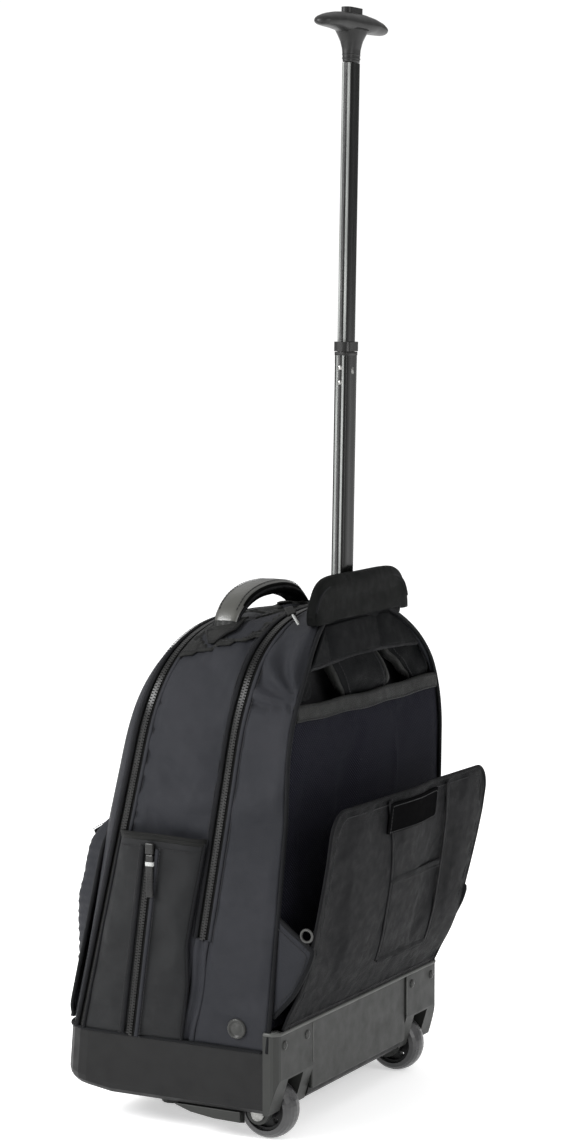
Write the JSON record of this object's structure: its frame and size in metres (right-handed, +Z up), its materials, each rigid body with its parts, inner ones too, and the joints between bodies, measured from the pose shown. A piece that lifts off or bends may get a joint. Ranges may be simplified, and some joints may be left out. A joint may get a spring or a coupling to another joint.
{
  "type": "rolling laptop backpack",
  "caption": "Upright cloth laptop backpack on rear wheels, with a telescopic T handle, a padded hood over the handle's well and a cloth flap that covers the wheels.",
  "frame": {"origin": "on the floor under the middle of the bounding box, with the handle out and the flap standing off the back", "axes": "+Z up, +Y towards the back with the wheels and the handle, +X towards the bag's left side as seen from behind"},
  "size_m": [0.3584, 0.287, 1.0089],
  "materials": {
    "tub_plastic": "smooth dark grey moulded tub, low sheen",
    "board": "grey stiffening board",
    "plate_plastic": "fine-grained dark grey moulding",
    "steel": "plated steel",
    "black_tube": "gloss black anodised aluminium tube",
    "grip_plastic": "satin black moulding",
    "air_mesh": "padded spacer mesh, near black",
    "coated_cloth": "smooth coated cloth, charcoal",
    "bag_nylon": "woven nylon, charcoal with a blue cast",
    "lining": "grey woven lining over thin foam",
    "zip_black": "black zip coil, sliders and pulls",
    "webbing": "black ribbed webbing",
    "handle_skin": "dark glossy coated leather",
    "tyre_rubber": "dark grey smooth tread",
    "hub_plastic": "black moulded hub"
  },
  "bodies": {
    "bag": {"bottom_tub": "tub_plastic", "base_board": "board", "kick_plate": "plate_plastic", "wheel_housing_left": "plate_plastic", "wheel_housing_right": "plate_plastic", "axle_bolt_left": "steel", "axle_bolt_right": "steel", "skid_rail_left": "plate_plastic", "skid_rail_right": "plate_plastic", "front_foot_left": "plate_plastic", "front_foot_right": "plate_plastic", "handle_housing_tube": "black_tube", "handle_base_bracket": "plate_plastic", "handle_bezel": "grip_plastic", "back_board": "board", "strap_pocket": "air_mesh", "yoke_panel": "coated_cloth", "shoulder_strap_left": "coated_cloth", "shoulder_strap_right": "coated_cloth", "main_gusset": "bag_nylon", "laptop_gusset": "bag_nylon", "laptop_divider": "lining", "side_pocket_left": "bag_nylon", "side_pocket_right": "bag_nylon", "strap_wing_left": "bag_nylon", "strap_wing_right": "bag_nylon", "strap_ring_left": "steel", "strap_ring_right": "steel", "side_rondel": "grip_plastic", "laptop_zip": "zip_black", "laptop_slider": "zip_black", "handle_anchor_left": "webbing", "handle_anchor_right": "webbing"},
    "lower_tube": {"lower_tube": "black_tube", "lower_tube_collar": "grip_plastic", "lower_tube_guide": "grip_plastic"},
    "upper_tube": {"upper_tube": "black_tube", "upper_lock_block": "grip_plastic", "grip_neck": "grip_plastic", "grip": "grip_plastic"},
    "release_button": {"release_button": "grip_plastic", "release_rod": "steel"},
    "lock_pin": {"lock_pin": "steel"},
    "wheel_left": {"tyre_left": "tyre_rubber", "wheel_hub_left": "hub_plastic", "bearing_inner_left": "steel", "bearing_outer_left": "steel"},
    "wheel_right": {"tyre_right": "tyre_rubber", "wheel_hub_right": "hub_plastic", "bearing_inner_right": "steel", "bearing_outer_right": "steel"},
    "front_door": {"front_panel": "bag_nylon", "front_pocket": "bag_nylon", "main_zip": "zip_black"},
    "rear_flap": {"rear_flap": "bag_nylon"},
    "hood": {"hood": "coated_cloth"},
    "grab_handle": {"grab_handle": "handle_skin"},
    "pocket_slider": {"pocket_slider": "zip_black"},
    "pocket_pull": {"pocket_pull": "zip_black"},
    "laptop_pull": {"laptop_pull": "zip_black"}
  },
  "joints": [
    {"name": "lower_tube_slide", "type": "slide", "parent": "bag", "child": "lower_tube", "axis": [0, 0.0175, 0.9998], "range_m": [-0.251, 0]},
    {"name": "upper_tube_slide", "type": "slide", "parent": "lower_tube", "child": "upper_tube", "axis": [0, 0.0175, 0.9998], "range_m": [-0.249, 0]},
    {"name": "release_button_press", "type": "slide", "parent": "upper_tube", "child": "release_button", "axis": [0, -0.0175, -0.9998], "range_m": [0, 0.004], "stiffness_N_per_m": 400, "springref_m": -0.004},
    {"name": "lock_pin_slide", "type": "slide", "parent": "upper_tube", "child": "lock_pin", "axis": [0, -0.9998, 0.0175], "range_m": [0, 0.003]},
    {"name": "wheel_left_spin", "type": "hinge", "parent": "bag", "child": "wheel_left", "pos_m": [0.13, 0.05867, 0.0275], "axis": [1, 0, 0], "continuous": true},
    {"name": "wheel_right_spin", "type": "hinge", "parent": "bag", "child": "wheel_right", "pos_m": [-0.13, 0.05867, 0.0275], "axis": [1, 0, 0], "continuous": true},
    {"name": "front_door_hinge", "type": "hinge", "parent": "bag", "child": "front_door", "pos_m": [0, -0.14383, 0.09], "axis": [1, 0, 0], "range_deg": [0, 75]},
    {"name": "rear_flap_hinge", "type": "hinge", "parent": "bag", "child": "rear_flap", "pos_m": [0, 0.08767, 0.1046], "axis": [1, 0, 0], "range_deg": [-145, 12]},
    {"name": "hood_hinge", "type": "hinge", "parent": "bag", "child": "hood", "pos_m": [0, 0.09067, 0.455], "axis": [1, 0, 0], "range_deg": [-95, 0]},
    {"name": "grab_handle_hinge", "type": "hinge", "parent": "bag", "child": "grab_handle", "pos_m": [0.024, -0.00233, 0.455], "axis": [1, 0, 0], "range_deg": [-8, 25]},
    {"name": "pocket_slider_slide", "type": "slide", "parent": "bag", "child": "pocket_slider", "axis": [-0.0329, -0.1502, -0.9881], "range_m": [0, 0.155]},
    {"name": "pocket_pull_hinge", "type": "hinge", "parent": "pocket_slider", "child": "pocket_pull", "pos_m": [0.1776, -0.03733, 0.2538], "axis": [0, -1, 0], "range_deg": [0, 105]},
    {"name": "laptop_pull_hinge", "type": "hinge", "parent": "bag", "child": "laptop_pull", "pos_m": [0.0869, 0.05922, 0.46518], "axis": [0.8192, -0.5735, 0], "range_deg": [0, 90]}
  ],
  "couplings": [
    {"joint": "lock_pin_slide", "follows": "release_button_press", "ratio": 0.75}
  ]
}
